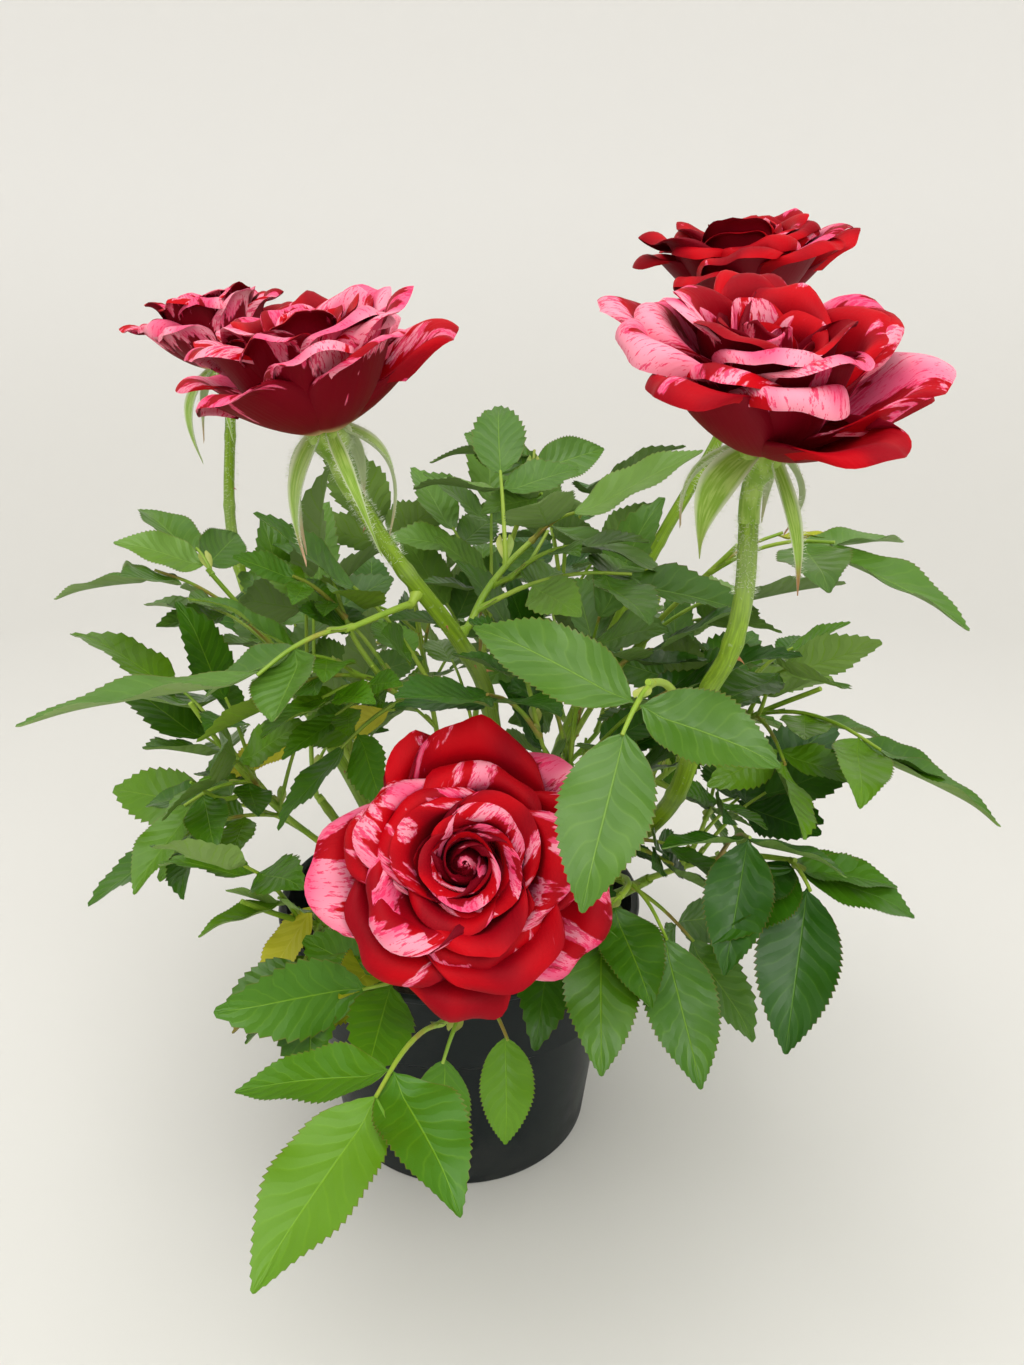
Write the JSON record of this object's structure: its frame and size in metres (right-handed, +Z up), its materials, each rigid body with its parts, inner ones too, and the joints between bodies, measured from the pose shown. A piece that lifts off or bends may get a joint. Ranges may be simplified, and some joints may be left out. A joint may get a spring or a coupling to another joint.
{
  "type": "potted rose bush",
  "caption": "Small patio rose bush in a plain black nursery pot, with canes, leaf sprays and open striped red and pink blooms.",
  "frame": {"origin": "centre of the pot's flat underside, on the surface that the pot stands on", "axes": "+Z up; -Y towards the side that the foremost bloom faces; +X to the right seen from there"},
  "size_m": [0.2538, 0.2973, 0.2996],
  "materials": {
    "pot_plastic": "matte black moulded plastic with a soft sheen",
    "compost": "dark moist peat compost, crumbly and matte",
    "cane_bark": "green living bark, finely hairy, with a few prickles",
    "leaf": "thin satin green leaves with serrated edges and sunken veins",
    "petal": "velvety crimson petals splashed with pale pink"
  },
  "bodies": {
    "root": {"bloom_back_left": "petal", "bloom_back_right": "petal", "bloom_front": "petal", "bloom_left": "petal", "bloom_right": "petal", "bough_back": "cane_bark", "bough_back_left": "cane_bark", "bough_back_right": "cane_bark", "bough_front_left": "cane_bark", "bough_front_low": "cane_bark", "bough_left": "cane_bark", "bough_left_high": "cane_bark", "bough_middle": "cane_bark", "bough_right": "cane_bark", "bough_right_high": "cane_bark", "bough_right_low": "cane_bark", "cane_back_left": "cane_bark", "cane_back_right": "cane_bark", "cane_front": "cane_bark", "cane_left": "cane_bark", "cane_right_high": "cane_bark", "cane_right_low": "cane_bark", "pot": "pot_plastic", "soil": "compost", "spray_back": "leaf", "spray_back_left": "leaf", "spray_back_right": "leaf", "spray_centre_fan": "leaf", "spray_centre_low": "leaf", "spray_front_left": "leaf", "spray_front_low": "leaf", "spray_front_right": "leaf", "spray_front_trio": "leaf", "spray_heart": "leaf", "spray_left": "leaf", "spray_left_high": "leaf", "spray_left_inner": "leaf", "spray_left_long": "leaf", "spray_middle": "leaf", "spray_right": "leaf", "spray_right_high": "leaf", "spray_right_low": "leaf"}
  },
  "joints": []
}
